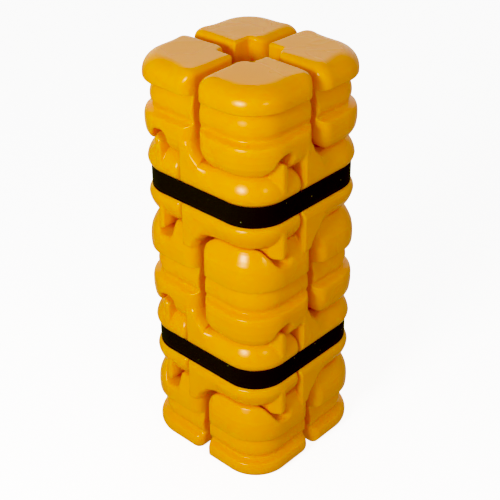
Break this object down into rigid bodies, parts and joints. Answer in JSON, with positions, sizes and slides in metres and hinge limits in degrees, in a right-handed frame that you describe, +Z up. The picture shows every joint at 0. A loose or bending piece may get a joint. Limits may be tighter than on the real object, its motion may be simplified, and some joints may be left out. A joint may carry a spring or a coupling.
{
  "type": "modular column protector",
  "caption": "Square pillar of interlocking hollow plastic modules around an open column space, held by two hook-and-loop straps; the corner stacks slide apart for a thicker column.",
  "frame": {"origin": "centre of the underside, on the axis of the column space", "axes": "+Z up along the column; the faces look along X and Y"},
  "size_m": [0.408, 0.408, 1.067],
  "materials": {
    "yellow_polyethylene": "blow-moulded, satin gloss",
    "black_webbing": "loop pile webbing",
    "black_hook_tape": "moulded hook tape"
  },
  "bodies": {
    "stack_a": {"top_module_a": "yellow_polyethylene", "middle_module_a": "yellow_polyethylene", "bottom_module_a": "yellow_polyethylene", "upper_strap_band": "black_webbing", "lower_strap_band": "black_webbing"},
    "stack_b": {"top_module_b": "yellow_polyethylene", "middle_module_b": "yellow_polyethylene", "bottom_module_b": "yellow_polyethylene"},
    "stack_c": {"top_module_c": "yellow_polyethylene", "middle_module_c": "yellow_polyethylene", "bottom_module_c": "yellow_polyethylene"},
    "stack_d": {"top_module_d": "yellow_polyethylene", "middle_module_d": "yellow_polyethylene", "bottom_module_d": "yellow_polyethylene", "upper_strap_hook_tab": "black_hook_tape", "lower_strap_hook_tab": "black_hook_tape"}
  },
  "joints": [
    {"name": "width_slide", "type": "slide", "parent": "stack_a", "child": "stack_b", "axis": [1, 0, 0], "range_m": [0, 0.09], "deforming": ["upper_strap_band", "lower_strap_band"]},
    {"name": "depth_slide", "type": "slide", "parent": "stack_b", "child": "stack_c", "axis": [0, 1, 0], "range_m": [0, 0.09], "deforming": ["upper_strap_band", "lower_strap_band"]},
    {"name": "rear_slide", "type": "slide", "parent": "stack_a", "child": "stack_d", "axis": [0, 1, 0], "range_m": [0, 0.09], "deforming": ["upper_strap_band", "lower_strap_band"]}
  ],
  "couplings": [
    {"joint": "rear_slide", "follows": "depth_slide", "ratio": 1}
  ]
}
